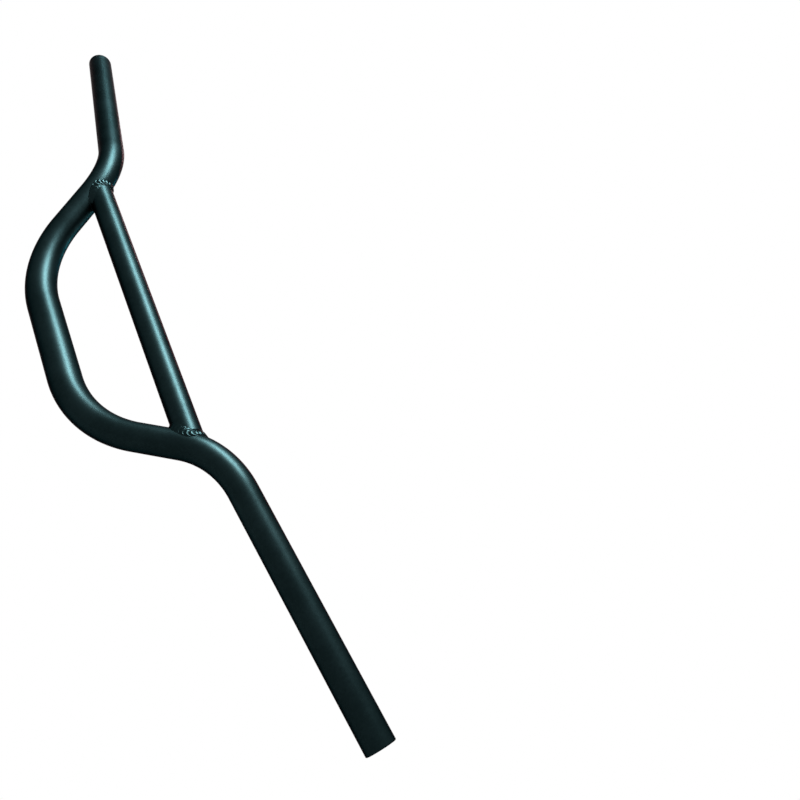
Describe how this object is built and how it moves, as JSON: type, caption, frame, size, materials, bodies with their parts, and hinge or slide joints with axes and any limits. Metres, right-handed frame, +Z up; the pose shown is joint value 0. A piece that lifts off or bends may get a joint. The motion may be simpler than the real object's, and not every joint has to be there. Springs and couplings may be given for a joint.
{
  "type": "bicycle handlebar",
  "caption": "Riser handlebar: one bent tube, thicker at the stem clamp, with upswept and backswept grip ends and a welded cross tube between the risers.",
  "frame": {"origin": "on the axis of the stem clamp seat, at its middle", "axes": "+X along the clamp seat towards the rider's left grip, +Y back towards the rider, +Z up"},
  "size_m": [0.751, 0.0735, 0.1334],
  "materials": {
    "tube_finish": "satin black, finely blasted, with a cool blue-green sheen",
    "weld_finish": "satin black over a rippled weld bead"
  },
  "bodies": {
    "root": {"bent_main_tube": "tube_finish", "cross_tube": "tube_finish", "weld_beads": "weld_finish"}
  },
  "joints": []
}
